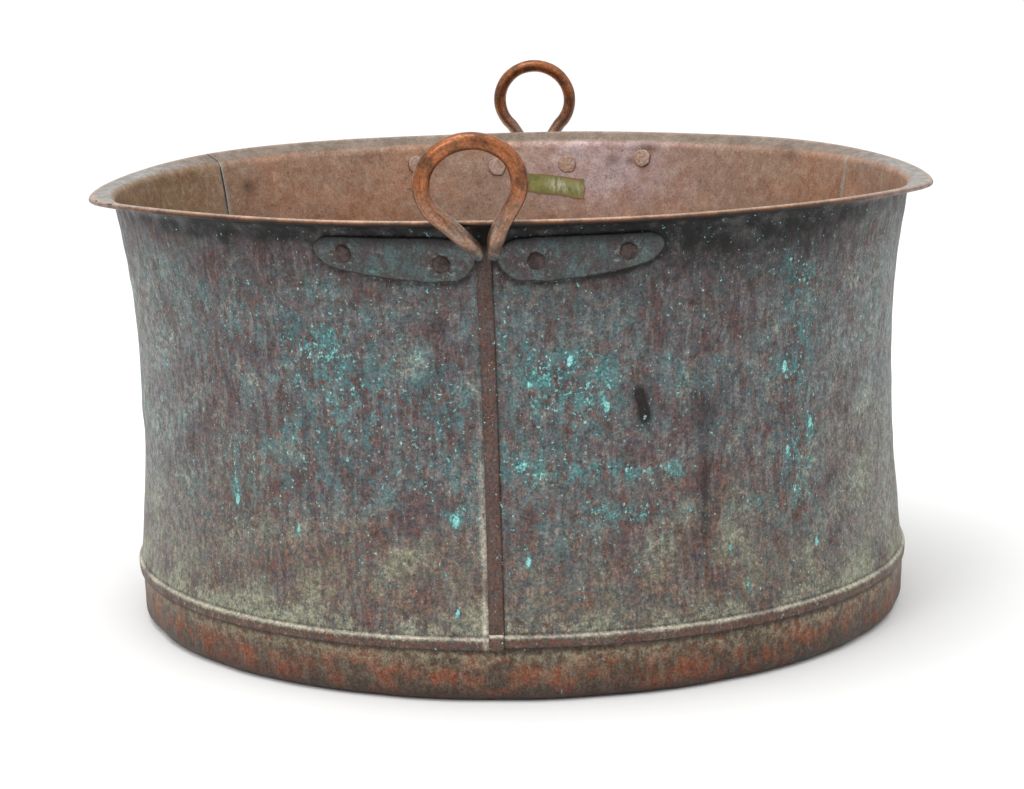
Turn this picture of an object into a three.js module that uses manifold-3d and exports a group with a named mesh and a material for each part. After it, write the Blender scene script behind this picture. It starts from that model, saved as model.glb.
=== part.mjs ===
// A large riveted copper vat with two rigid loop handles.
// Three wall sheets are lapped into a drum, the drum's foot is joggled over a dished base pan,
// the mouth is flared and rolled round a wire, and each handle is a rod bent into a loop whose
// ends are forged flat and riveted through the wall.
//
// Millimetres, +Z up. The origin is the centre of the flat underside. The handles stand on -Y and
// +Y. Angles round the drum are measured from -Y, positive towards +X.

import * as THREE from 'three';
import { mergeVertices } from 'three/addons/utils/BufferGeometryUtils.js';
import Module from 'manifold-3d';

const wasm = await Module();
wasm.setup();

// ---------------------------------------------------------------- driving dimensions

const SHEET = 1.5; // copper of the walls
const PAN_SHEET = 2.0; // heavier copper of the base
const GAP = 0.3; // clearance kept between touching pieces
const FACET = 7.5; // degrees of one flat: every ring of the drum is the same 48-sided polygon

const LEAN = -0.0102; // sideways shift of the whole vat per unit of height, towards -X
const WAIST = { r: 345.5, z: 208 }; // narrowest ring of the wall's outside face
const FOOT = { r: 352.3, z: 72 }; // where the wall runs into its flared skirt
const NECK = { r: 361, z: 381 }; // where the wall turns out into the mouth's flange
const NECK_FLARE_POWER = 2.15;

// The skirt is the wall's foot, flared out over the base pan. Outside face, from the cut edge up.
const SKIRT = [
  { r: 357.2, z: 44.5 },
  { r: 357.3, z: 51 },
  { r: 356.6, z: 53.2 },
  { r: 355.2, z: 54.6 },
  { r: 353.9, z: 59 },
  { r: 353.1, z: 65 },
];
const PAN = { r: 354.3, corner: 11 };
// The pan's upstand tapers in under the skirt and stands inside the drum. Outside face, going up.
const UPSTAND = [
  { r: 354.8, z: 34 },
  { r: 355.0, z: 50 },
  { r: 352.9, z: 53.8 },
  { r: 351.4, z: 60 },
  { r: 350.8, z: 66 },
];

const RIM = { r: 380, top: 397 }; // outermost edge and top of the rolled mouth
const RIM_SPREAD = 3.8; // how far the mouth is pulled out of round at +X and -X
const WIRE_RADIUS = 0.7; // stiffening wire inside the roll
const ROLL_HOLLOW = WIRE_RADIUS + GAP; // inside radius of the roll
const ROLL_RADIUS = ROLL_HOLLOW + SHEET;
const FLANGE_SLOPE = 30; // degrees above level
const RIM_DROOP = 11.5; // how far the flange is bent down at +X and -X
const RIM_BEND_START = 360; // radius where the spreading and drooping start
const RIM_DROOP_POWER = 8.6;

const SHEETS = [
  { name: 'wall_sheet_right', seam: 0, nextSeam: 117.5 },
  { name: 'wall_sheet_back', seam: 117.5, nextSeam: 236.5 },
  { name: 'wall_sheet_left', seam: 236.5, nextSeam: 360 },
];
// Degrees at a seam: the upper sheet's cut edge, the lower sheet's hidden edge, and the end of the
// raised strip with its easing back to the drum.
const LAP = { from: -1, under: 0.65, raised: 0.8, eased: 1.2, butt: 0.05 };
const LAP_TOP = 345; // above this height the lower sheet stops short, so the mouth is a butt joint

const RING_OUT = 389; // a handle's ring stands upright at this distance from the middle
const THROAT_Z = 372; // where the two legs of a handle come closest
// Each handle: its place round the drum in degrees, its lean in degrees about the throat, its rod's
// radius, its ring's centre line, and its rivets, with angles measured from the handle.
const HANDLES = [
  {
    place: 'front',
    turn: 0.35,
    lean: 9,
    rod: 7.2,
    ring: { z: 427.7, halfWidth: 38.3, halfHeight: 33.2 },
    rivets: [
      { angle: -18.5, z: 369 },
      { angle: -5.7, z: 361.6 },
      { angle: 6.2, z: 363.4 },
      { angle: 17.9, z: 368.2 },
    ],
  },
  {
    place: 'back',
    turn: 179.45,
    lean: 0,
    rod: 6.5,
    ring: { z: 430, halfWidth: 37, halfHeight: 35.8 },
    rivets: [
      { angle: -18.5, z: 371 },
      { angle: -5.5, z: 364 },
      { angle: 6.4, z: 362.5 },
      { angle: 20.1, z: 368 },
    ],
  },
];
const PALM = { from: 1.35, to: 22.7, gap: 0.6, thickness: 3.2 }; // degrees along the wall, then mm
const SHANK_RADIUS = 4;

const TAPE = { from: -0.8, to: 9.1, top: 356, height: 19.5, gap: 0.7, thickness: 0.3, fall: 7.5 };

const radians = THREE.MathUtils.degToRad;

// ---------------------------------------------------------------- materials

const copper = (color, roughness) => new THREE.MeshStandardMaterial({ color, roughness, metalness: 0.85 });
const patinaCopper = copper(0x5c5550, 0.65);
const reddishCopper = copper(0x6e4a3c, 0.6);
const handledCopper = copper(0x9a5230, 0.38);
const rivetCopper = copper(0x54403a, 0.55);
const steelWire = new THREE.MeshStandardMaterial({ color: 0x4a4744, roughness: 0.7, metalness: 0.8 });
const oldTape = new THREE.MeshStandardMaterial({ color: 0x8d8c45, roughness: 0.8, metalness: 0 });

// ---------------------------------------------------------------- helpers

/** A box of unit size, cut into segments and mapped by place(u, v, w), each 0 to 1. */
function mappedBox(uSegments, wSegments, place) {
  const box = new THREE.BoxGeometry(1, 1, 1, uSegments, 1, wSegments);
  box.translate(0.5, 0.5, 0.5);
  const position = box.attributes.position;
  for (let i = 0; i < position.count; i++) {
    const point = place(position.getX(i), position.getY(i), position.getZ(i));
    position.setXYZ(i, point.x, point.y, point.z);
  }
  return welded(box);
}

function welded(geometry) {
  geometry.deleteAttribute('normal');
  geometry.deleteAttribute('uv');
  return mergeVertices(geometry, 1e-4);
}

/** The point at an angle round the drum's polygon, whose corners have this radius, at a height. */
function around(degrees, radius, z) {
  const angle = radians(degrees);
  const half = FACET / 2;
  const fromMiddle = THREE.MathUtils.euclideanModulo(degrees - LAP.from, FACET) - half;
  const flat = (radius * Math.cos(radians(half))) / Math.cos(radians(fromMiddle));
  return new THREE.Vector3(flat * Math.sin(angle), -flat * Math.cos(angle), z);
}

function toSolid(geometry) {
  const closed = geometry.attributes.normal ? welded(geometry) : geometry;
  return new wasm.Manifold(
    new wasm.Mesh({
      numProp: 3,
      vertProperties: new Float32Array(closed.attributes.position.array),
      triVerts: new Uint32Array(closed.index.array),
    }),
  );
}

function toGeometry(solid) {
  const mesh = solid.getMesh();
  const geometry = new THREE.BufferGeometry();
  geometry.setAttribute('position', new THREE.BufferAttribute(mesh.vertProperties, 3));
  geometry.setIndex(new THREE.BufferAttribute(mesh.triVerts, 1));
  return geometry;
}

/** Spreads the mouth's flange and bends it down, towards +X and -X. */
function outOfRound(geometry) {
  const position = geometry.attributes.position;
  for (let i = 0; i < position.count; i++) {
    const x = position.getX(i);
    const radius = Math.hypot(x, position.getY(i));
    if (radius <= RIM_BEND_START) continue;
    const outward = (radius - RIM_BEND_START) / (RIM.r - RIM_BEND_START);
    const sideways = Math.abs(x) / radius;
    position.setX(i, x * (1 + (RIM_SPREAD * outward) / RIM.r));
    position.setZ(i, position.getZ(i) - RIM_DROOP * sideways ** RIM_DROOP_POWER * outward);
  }
  return geometry;
}

// ---------------------------------------------------------------- wall section

/** Radius of the wall's outside face at a height between the foot and the neck. */
function wallRadius(z) {
  if (z < WAIST.z) {
    return WAIST.r + (FOOT.r - WAIST.r) * ((WAIST.z - z) / (WAIST.z - FOOT.z)) ** 2;
  }
  return WAIST.r + (NECK.r - WAIST.r) * ((z - WAIST.z) / (NECK.z - WAIST.z)) ** NECK_FLARE_POWER;
}

/** Stands a geometry built along +Y square on the wall's outside face, at an angle and a height. */
function onWall(geometry, degrees, z) {
  const slope = Math.atan((wallRadius(z + 1) - wallRadius(z - 1)) / 2);
  const spot = around(degrees, wallRadius(z), z);
  geometry.rotateX(-slope).rotateZ(Math.PI + radians(degrees));
  return geometry.translate(spot.x, spot.y, spot.z);
}

/** The wall's outside face as (radius, height) points, from the foot's cut edge to the end of the roll. */
function wallSection() {
  const path = new THREE.Path();
  path.moveTo(SKIRT[0].r, SKIRT[0].z);
  SKIRT.slice(1).forEach(({ r, z }) => path.lineTo(r, z));
  for (const z of [FOOT.z, 105, 145, WAIST.z, 265, 305, 330, LAP_TOP, 352, 362, 372, NECK.z]) {
    path.lineTo(wallRadius(z), z);
  }
  const wire = { r: RIM.r - ROLL_RADIUS, z: RIM.top - ROLL_RADIUS };
  const start = radians(90 + FLANGE_SLOPE);
  const flangeEnd = new THREE.Vector2(
    wire.r + ROLL_HOLLOW * Math.cos(start),
    wire.z + ROLL_HOLLOW * Math.sin(start),
  );
  const flangeRun = 11;
  const flangeStart = new THREE.Vector2(
    flangeEnd.x - flangeRun,
    flangeEnd.y - flangeRun * Math.tan(radians(FLANGE_SLOPE)),
  );
  path.quadraticCurveTo(NECK.r + 0.9, NECK.z + 4.6, flangeStart.x, flangeStart.y);
  path.lineTo(flangeEnd.x, flangeEnd.y);
  path.absarc(wire.r, wire.z, ROLL_HOLLOW, start, radians(-150), true);
  return path.getPoints(3);
}

/** Unit vectors at the points of a section, square to it and pointing into the copper. */
function sectionNormals(points) {
  return points.map((point, i) => {
    const before = points[Math.max(i - 1, 0)];
    const after = points[Math.min(i + 1, points.length - 1)];
    const along = after.clone().sub(before).normalize();
    return new THREE.Vector2(-along.y, along.x);
  });
}

const section = wallSection();
const normals = sectionNormals(section);

// ---------------------------------------------------------------- walls

/**
 * One wall sheet, from its cut edge on top of its neighbour to its hidden edge under the next one.
 * The covering strip is raised by a sheet's thickness. Above LAP_TOP the hidden edge stops short of
 * the next sheet's cut edge and the strip comes down level.
 */
function wallSheet(seam, nextSeam) {
  const buttEdge = nextSeam + LAP.from - LAP.butt;
  const columnAngles = [seam + LAP.from, seam + LAP.raised, seam + LAP.eased];
  for (let corner = LAP.from; corner < buttEdge - 1; corner += FACET) {
    if (corner > seam + LAP.eased) columnAngles.push(corner);
  }
  columnAngles.push(buttEdge, nextSeam + LAP.under);
  const rows = section.length - 1;
  const columns = columnAngles.length - 1;
  const notch = section.findIndex((point) => point.y > LAP_TOP);

  const place = (u, v, w) => {
    const column = Math.round(u * columns);
    const row = Math.round(w * rows);
    const stopsShort = column >= columns - 1 && row >= notch;
    const angle = stopsShort ? buttEdge - (columns - column) : columnAngles[column];
    const raise = column <= 1 && row <= notch ? SHEET + GAP : 0;
    const inwards = SHEET * v - raise;
    const radius = section[row].x + normals[row].x * inwards;
    const height = section[row].y + normals[row].y * inwards;
    return around(angle, radius, height);
  };
  return outOfRound(mappedBox(columns, rows, place));
}

/** The dished base pan: a flat disc with a rounded corner and an upstand that the walls lap over. */
function basePan() {
  const corner = { r: PAN.r - PAN.corner, z: PAN.corner };
  const profile = new THREE.Path();
  profile.moveTo(0, 0);
  profile.lineTo(corner.r, 0);
  profile.absarc(corner.r, corner.z, PAN.corner, radians(-90), 0, false);
  UPSTAND.forEach(({ r, z }) => profile.lineTo(r, z));
  UPSTAND.toReversed().forEach(({ r, z }) => profile.lineTo(r - PAN_SHEET, z));
  profile.lineTo(PAN.r - PAN_SHEET, corner.z);
  profile.absarc(corner.r, corner.z, PAN.corner - PAN_SHEET, 0, radians(-90), true);
  profile.lineTo(0, PAN_SHEET);
  const pan = new THREE.LatheGeometry(profile.getPoints(2), 360 / FACET, radians(LAP.from));
  return pan.rotateX(Math.PI / 2);
}

/** The wire that stiffens the mouth, closed into a ring inside the roll. */
function rimWire() {
  const ring = new THREE.TorusGeometry(RIM.r - ROLL_RADIUS, WIRE_RADIUS, 6, 360 / FACET);
  ring.rotateZ(radians(LAP.from)).translate(0, 0, RIM.top - ROLL_RADIUS);
  return outOfRound(ring);
}

// ---------------------------------------------------------------- handles

/** Upper and lower edge of a handle's palm, at a share of its length from the throat outwards. */
function palmEdges(share) {
  const roundness = Math.min(1, share / 0.12, (1 - share) / 0.1);
  const fullness = Math.sqrt(1 - (1 - roundness) ** 2 * 0.96);
  const middle = THREE.MathUtils.lerp(361.8, 369, share);
  const half = THREE.MathUtils.lerp(17.5, 10.5, share) * fullness;
  return { low: middle - half, high: Math.min(middle + half, NECK.z - 2) };
}

/** A palm: flat-forged rod that hugs the wall from the throat outwards, on one side. */
function palm(side) {
  const place = (u, v, w) => {
    const share = side > 0 ? u : 1 - u;
    const angle = side * THREE.MathUtils.lerp(PALM.from, PALM.to, share);
    const { low, high } = palmEdges(share);
    const z = THREE.MathUtils.lerp(low, high, w);
    return around(angle, wallRadius(z) + PALM.gap + PALM.thickness * (1 - v), z);
  };
  return mappedBox(16, 3, place);
}

/** Centre line of the rod: up one leg, round the ring and down the other, leaning about the throat. */
function rodPath({ lean, rod, ring }) {
  const leg = [
    [10.8, 357.7 + rod, 363.5],
    [8.4, 362.1 + rod, 371],
    [8.6, 369.7 + rod, 378.2],
    [12.2, 377.7 + rod, 384.8],
    [17.6, 388.6, 392.2],
    [24.4, RING_OUT, ring.z - 27],
  ];
  const round = [];
  for (let degrees = -36; degrees <= 216; degrees += 18) {
    const angle = radians(degrees);
    const x = ring.halfWidth * Math.cos(angle);
    round.push([x, RING_OUT, ring.z + ring.halfHeight * Math.sin(angle)]);
  }
  const mirrored = leg.map(([x, out, z]) => [-x, out, z]).reverse();
  const points = [...leg, ...round, ...mirrored].map(([x, out, z]) => {
    const share = THREE.MathUtils.smoothstep(z, THROAT_Z - 4, THROAT_Z + 14);
    const turn = radians(-lean * share);
    const dz = z - THROAT_Z;
    return new THREE.Vector3(
      x * Math.cos(turn) + dz * Math.sin(turn),
      -out,
      THROAT_Z - x * Math.sin(turn) + dz * Math.cos(turn),
    );
  });
  return new THREE.CatmullRomCurve3(points, false, 'centripetal');
}

function rivetHole(degrees, z) {
  const drill = new THREE.CylinderGeometry(SHANK_RADIUS + GAP, SHANK_RADIUS + GAP, 40, 12);
  return toSolid(onWall(drill, degrees, z));
}

/** A handle on -Y: rod and two palms joined into one forging, drilled for its four rivets. */
function handle(form) {
  const sides = 8;
  const circle = Array.from({ length: sides }, (_, i) => {
    const angle = (2 * Math.PI * i) / sides;
    return new THREE.Vector2(form.rod * Math.cos(angle), form.rod * Math.sin(angle));
  });
  const bent = new THREE.ExtrudeGeometry(new THREE.Shape(circle), {
    steps: 40,
    extrudePath: rodPath(form),
    bevelEnabled: false,
  });
  let solid = toSolid(bent).add(toSolid(palm(1))).add(toSolid(palm(-1)));
  for (const { angle, z } of form.rivets) {
    solid = solid.subtract(rivetHole(angle, z));
  }
  return toGeometry(solid);
}

/** A rivet along +Y: flat head inside the drum, shank, and a hammered dome outside the palm. */
function rivet() {
  const insideFace = -SHEET - 0.8;
  const outsideFace = PALM.gap + PALM.thickness + 0.6;
  const profile = [
    [0, insideFace - 2.2],
    [8.2, insideFace - 1.9],
    [9.7, insideFace - 0.9],
    [9.7, insideFace],
    [SHANK_RADIUS, insideFace],
    [SHANK_RADIUS, outsideFace],
    [7.3, outsideFace],
    [6.4, outsideFace + 2.2],
    [3.6, outsideFace + 3.6],
    [0, outsideFace + 4],
  ];
  return new THREE.LatheGeometry(profile.map(([x, y]) => new THREE.Vector2(x, y)), 12);
}

/** A strip of old adhesive tape on the inside of the wall, slanting down to one side. */
function tapeStrip() {
  const place = (u, v, w) => {
    const angle = 180 - THREE.MathUtils.lerp(TAPE.to, TAPE.from, u);
    const z = TAPE.top - TAPE.fall * (1 - u) - TAPE.height * (1 - w);
    return around(angle, wallRadius(z) - SHEET - TAPE.gap - TAPE.thickness * v, z);
  };
  return mappedBox(6, 1, place);
}

// ---------------------------------------------------------------- assembly

const vat = new THREE.Group();
const leaning = new THREE.Matrix4().makeShear(0, 0, 0, 0, 0, 0);
leaning.elements[8] = LEAN; // x gains LEAN times z

function addPiece(name, geometry, material) {
  const mesh = new THREE.Mesh(geometry.applyMatrix4(leaning), material);
  mesh.name = name;
  vat.add(mesh);
}

for (const { name, seam, nextSeam } of SHEETS) {
  let solid = toSolid(wallSheet(seam, nextSeam));
  for (const { turn, rivets } of HANDLES) {
    for (const { angle, z } of rivets) {
      solid = solid.subtract(rivetHole(turn + angle, z));
    }
  }
  addPiece(name, toGeometry(solid), patinaCopper);
}
addPiece('base_pan', basePan(), reddishCopper);
addPiece('rim_wire', rimWire(), steelWire);
addPiece('tape_strip', tapeStrip(), oldTape);

for (const form of HANDLES) {
  addPiece(`${form.place}_handle`, handle(form).rotateZ(radians(form.turn)), handledCopper);
  form.rivets.forEach(({ angle, z }, i) => {
    addPiece(`${form.place}_rivet_${i + 1}`, onWall(rivet(), form.turn + angle, z), rivetCopper);
  });
}

export default vat;
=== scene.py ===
"""The looks of a large riveted copper vat with two rigid loop handles.

Lengths are in millimetres until a mesh is made, and then in metres. +Z is up, and the handles stand
on -Y and +Y. Angles round the drum are measured from -Y, positive towards +X.
"""

import bpy
import math
import numpy as np
from mathutils import Matrix, Vector


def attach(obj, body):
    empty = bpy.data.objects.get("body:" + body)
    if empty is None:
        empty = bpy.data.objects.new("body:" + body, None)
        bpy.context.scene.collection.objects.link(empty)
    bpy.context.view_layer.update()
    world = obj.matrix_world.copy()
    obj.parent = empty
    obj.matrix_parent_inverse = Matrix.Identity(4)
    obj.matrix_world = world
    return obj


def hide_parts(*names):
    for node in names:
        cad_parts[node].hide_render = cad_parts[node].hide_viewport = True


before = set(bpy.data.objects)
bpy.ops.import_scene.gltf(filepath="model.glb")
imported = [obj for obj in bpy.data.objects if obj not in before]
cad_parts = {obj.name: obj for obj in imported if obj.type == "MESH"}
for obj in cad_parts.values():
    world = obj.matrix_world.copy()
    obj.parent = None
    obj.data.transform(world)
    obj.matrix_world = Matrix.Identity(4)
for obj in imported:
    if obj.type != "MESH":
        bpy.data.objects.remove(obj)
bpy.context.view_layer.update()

# -------------------- dimensions

SHEET = 1.5
PAN_SHEET = 2.0
GAP = 0.3
LEAN = -0.0102
WAIST_R, WAIST_Z = 345.5, 208
FOOT_R, FOOT_Z = 352.3, 72
NECK_R, NECK_Z = 361, 381
NECK_FLARE_POWER = 2.15
DRUM_R = 350  # turns angles round the drum into lengths
SKIRT = [(356.8, 44.6), (357.2, 47.5), (357.3, 51), (357.0, 53), (356.1, 54.3), (355.0, 55), (354.2, 57)]
SKIRT += [(353.7, 61), (353.2, 65)]

RIM_R, RIM_TOP = 379.87, 397
WIRE_RADIUS = 0.7
ROLL_HOLLOW = WIRE_RADIUS + GAP
ROLL_RADIUS = ROLL_HOLLOW + SHEET
FLANGE_SLOPE, FLANGE_RUN = 30, 11
ROLL_ENDS_AT = -150  # degrees round the wire, where 90 is straight up
RIM_SPREAD = 3.8
RIM_DROOP = 11.5
RIM_BEND_START = 360
RIM_DROOP_POWER = 8.6
RIM_TIPS_AT = 93.5  # degrees: the mouth is pulled out and down here and opposite

# Degrees from a seam to its cut edge, to the edge hidden under it, and to where the raised strip starts
# and ends its way down.
SEAM_FROM, SEAM_UNDER, SEAM_RAISED, SEAM_EASED = -1.0, 0.65, 0.75, 1.15
STRIP_TOP = 374
SEAMS = [0, 117.5, 236.5, 360]  # the last is the first again
# Each sheet, and how far its ledge is off the level at its start and its end.
SHEETS = [
    ("wall_sheet_right", 1.7, -1.2),
    ("wall_sheet_back", 0.4, -0.6),
    ("wall_sheet_left", -1.6, -0.3),
]
LEDGE_Z = 54.2

RING_OUT = 388.5
THROAT_Z = 372
PALM_FROM, PALM_TO, PALM_GAP, PALM_THICKNESS = 1.4, 22.7, 0.7, 2.9
# Each handle: place, turn, lean, rod radius, and its ring's height, half width and half height.
HANDLES = [
    ("front", 0.35, 9, 7.2, (427.7, 38.3, 33.2)),
    ("back", 179.45, 0, 6.5, (429.9, 37, 35.8)),
]
FRONT_TURN = HANDLES[0][1]
# Each rivet: degrees round the drum from its handle's middle, and height.
RIVETS = {
    "front": [(-18.5, 369), (-5.7, 361.6), (6.2, 363.4), (17.9, 368.2)],
    "back": [(-18.5, 371), (-5.5, 364), (6.4, 362.5), (20.1, 368)],
}

PAN_R, PAN_CORNER = 354.2, 11.2

# -------------------- shape helpers


def ease(low, high, value):
    """0 up to low, 1 from high on, and a smooth rise between them."""
    share = np.clip((np.asarray(value, float) - low) / (high - low), 0, 1)
    return share * share * (3 - 2 * share)


def bump(distance, width):
    """1 at no distance, falling away smoothly on both sides."""
    return np.exp(-((distance / width) ** 2))


def wall_radius(z):
    """The outside radius of the plain drum at a height."""
    z = np.asarray(z, float)
    low = WAIST_R + (FOOT_R - WAIST_R) * (np.clip(WAIST_Z - z, 0, None) / (WAIST_Z - FOOT_Z)) ** 2
    rise = np.clip(z - WAIST_Z, 0, None) / (NECK_Z - WAIST_Z)
    return np.where(z < WAIST_Z, low, WAIST_R + (NECK_R - WAIST_R) * rise**NECK_FLARE_POWER)


def drum(degrees, radius, z):
    """Points at angles round the drum, radii and heights."""
    angle, radius, z = np.broadcast_arrays(np.radians(degrees), radius, z)
    return np.stack([radius * np.sin(angle), -radius * np.cos(angle), z], axis=-1)


def drum_angle(points):
    """Degrees round the drum of each point."""
    return np.degrees(np.arctan2(points[..., 0], -points[..., 1]))


def wrapped(degrees):
    """The same directions, brought between -180 and 180 degrees."""
    return (degrees + 180) % 360 - 180


def turned(points, degrees):
    """Points turned round the vertical axis."""
    c, s = math.cos(math.radians(degrees)), math.sin(math.radians(degrees))
    x, y, z = points[..., 0], points[..., 1], points[..., 2]
    return np.stack([c * x - s * y, s * x + c * y, z], axis=-1)


def leaned(points):
    """Points shifted sideways with height, as the whole vat leans."""
    shifted = points.copy()
    shifted[..., 0] += LEAN * points[..., 2]
    return shifted


def on_wall(points, degrees, z):
    """Points built round the +Y axis, stood square on the outside of the wall."""
    slope = math.atan(float(wall_radius(z + 1) - wall_radius(z - 1)) / 2)
    c, s = math.cos(slope), math.sin(slope)
    x, y, up = points[..., 0], points[..., 1], points[..., 2]
    tilted = np.stack([x, c * y + s * up, -s * y + c * up], axis=-1)
    tilted = turned(tilted, 180 + degrees)
    return tilted + drum(degrees, float(wall_radius(z)), z)


def curve_through(points, steps):
    """A smooth curve through the points, with this many steps between each two."""
    p = np.asarray(points, float)
    p = np.vstack([2 * p[0] - p[1], p, 2 * p[-1] - p[-2]])
    t = (np.arange(steps) / steps)[:, None]
    pieces = []
    for a, b, c, d in zip(p[:-3], p[1:-2], p[2:-1], p[3:]):
        bend = (2 * a - 5 * b + 4 * c - d) * t**2 + (3 * b - a - 3 * c + d) * t**3
        pieces.append(0.5 * (2 * b + (c - a) * t + bend))
    return np.vstack(pieces + [p[-2:-1]])


def ripples(degrees, z, wavelength, height, seed, waves=28):
    """Smooth random unevenness round the drum, with no break where the angle comes full circle."""
    rng = np.random.default_rng(seed)
    angle = np.radians(degrees)
    total = 0
    for _ in range(waves):
        direction = rng.uniform(0, math.pi)
        length = wavelength * rng.uniform(0.7, 1.5)
        turns = round(2 * math.pi * DRUM_R / length * math.cos(direction))
        climb = 2 * math.pi / length * math.sin(direction)
        total = total + np.sin(turns * angle + climb * z + rng.uniform(0, 2 * math.pi))
    return height * total / math.sqrt(waves / 2)


def out_of_round(points):
    """The mouth's flange, spread and bent down towards its two tips."""
    radius = np.hypot(points[..., 0], points[..., 1])
    outward = np.clip((radius - RIM_BEND_START) / (RIM_R - RIM_BEND_START), 0, None)
    tip = math.radians(RIM_TIPS_AT)
    along = (points[..., 0] * math.sin(tip) - points[..., 1] * math.cos(tip)) / radius
    power = np.where(along > 0, 3, 12)
    spread = RIM_SPREAD * outward * np.sign(along) * np.abs(along) ** power
    bent = points.copy()
    bent[..., 0] += spread * math.sin(tip)
    bent[..., 1] -= spread * math.cos(tip)
    bent[..., 2] -= RIM_DROOP * outward * np.abs(along) ** RIM_DROOP_POWER
    return bent


def palm_edges(share):
    """Lower and upper edge of a palm, at a share of its length from the throat outwards."""
    low = np.interp(share, [0, 0.12, 0.3, 0.5, 0.7, 0.88, 1], [350, 346, 345.3, 347.5, 351, 356, 361])
    high = np.interp(share, [0, 0.3, 1], [380.5, 382.5, 382.5])
    fullness = np.sqrt(1 - (1 - np.clip(share / 0.13, 0, 1)) ** 2 * 0.97)
    fullness = fullness * np.sqrt(1 - (1 - np.clip((1 - share) / 0.11, 0, 1)) ** 2 * 0.97)
    middle, half = (low + high) / 2, (high - low) / 2 * fullness
    return middle - half, middle + half


# -------------------- mesh helpers


def loft(loops, closed=False):
    """Points and quads of a skin over equal loops, with flat ends unless it closes on itself."""
    count, size = loops.shape[:2]
    index = np.arange(count * size).reshape(count, size)
    ahead = np.roll(index, -1, axis=0) if closed else index[1:]
    here = index if closed else index[:-1]
    quads = [np.stack([here, ahead, np.roll(ahead, -1, 1), np.roll(here, -1, 1)], -1).reshape(-1, 4)]
    if not closed:
        near = np.arange(size // 2 - 1)
        for loop, order in ((index[0], 1), (index[-1], -1)):
            cap = np.stack([loop[near], loop[near + 1], loop[size - 2 - near], loop[size - 1 - near]], -1)
            quads.append(cap[:, ::order])
    return loops.reshape(-1, 3), np.vstack(quads)


def folded(front, back):
    """Loops that run along the front face and return along the back one."""
    return np.concatenate([front, back[:, ::-1]], axis=1)


def outward(points, quads):
    """The quads, turned round if they face into the solid."""
    a, b, c, d = (points[quads[:, i]] for i in range(4))
    volume = np.einsum("ij,ij->", a, np.cross(b, c)) + np.einsum("ij,ij->", a, np.cross(c, d))
    return quads if volume > 0 else quads[:, ::-1]


def new_object(name, data):
    """An object put into the scene."""
    obj = bpy.data.objects.new(name, data)
    bpy.context.scene.collection.objects.link(obj)
    return obj


def make_object(name, points, quads, materials, slot, stands_for=(), sharp=35):
    """A smooth mesh object from points in millimetres, riding on the vat if it has a slot."""
    mesh = bpy.data.meshes.new(name)
    mesh.from_pydata((points * 0.001).tolist(), [], outward(points, quads).tolist())
    mesh.update()
    mesh.shade_smooth()
    mesh.set_sharp_from_angle(angle=math.radians(sharp))
    for material in materials:
        mesh.materials.append(material)
    obj = new_object(name, mesh)
    if slot:
        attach(obj, "root")
    if stands_for:
        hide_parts(*stands_for)
    return obj


def paint(obj, **masks):
    """Stores each mask, one number for each vertex, for the materials to read."""
    for name, values in masks.items():
        attribute = obj.data.attributes.new(name, "FLOAT", "POINT")
        attribute.data.foreach_set("value", np.ascontiguousarray(values, dtype=np.float32).ravel())


# -------------------- material helpers


def colour(code):
    """A linear colour from a six-figure hex code."""
    parts = [int(code[i : i + 2], 16) / 255 for i in (0, 2, 4)]
    linear = [p / 12.92 if p <= 0.04045 else ((p + 0.055) / 1.055) ** 2.4 for p in parts]
    return (*linear, 1.0)


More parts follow.
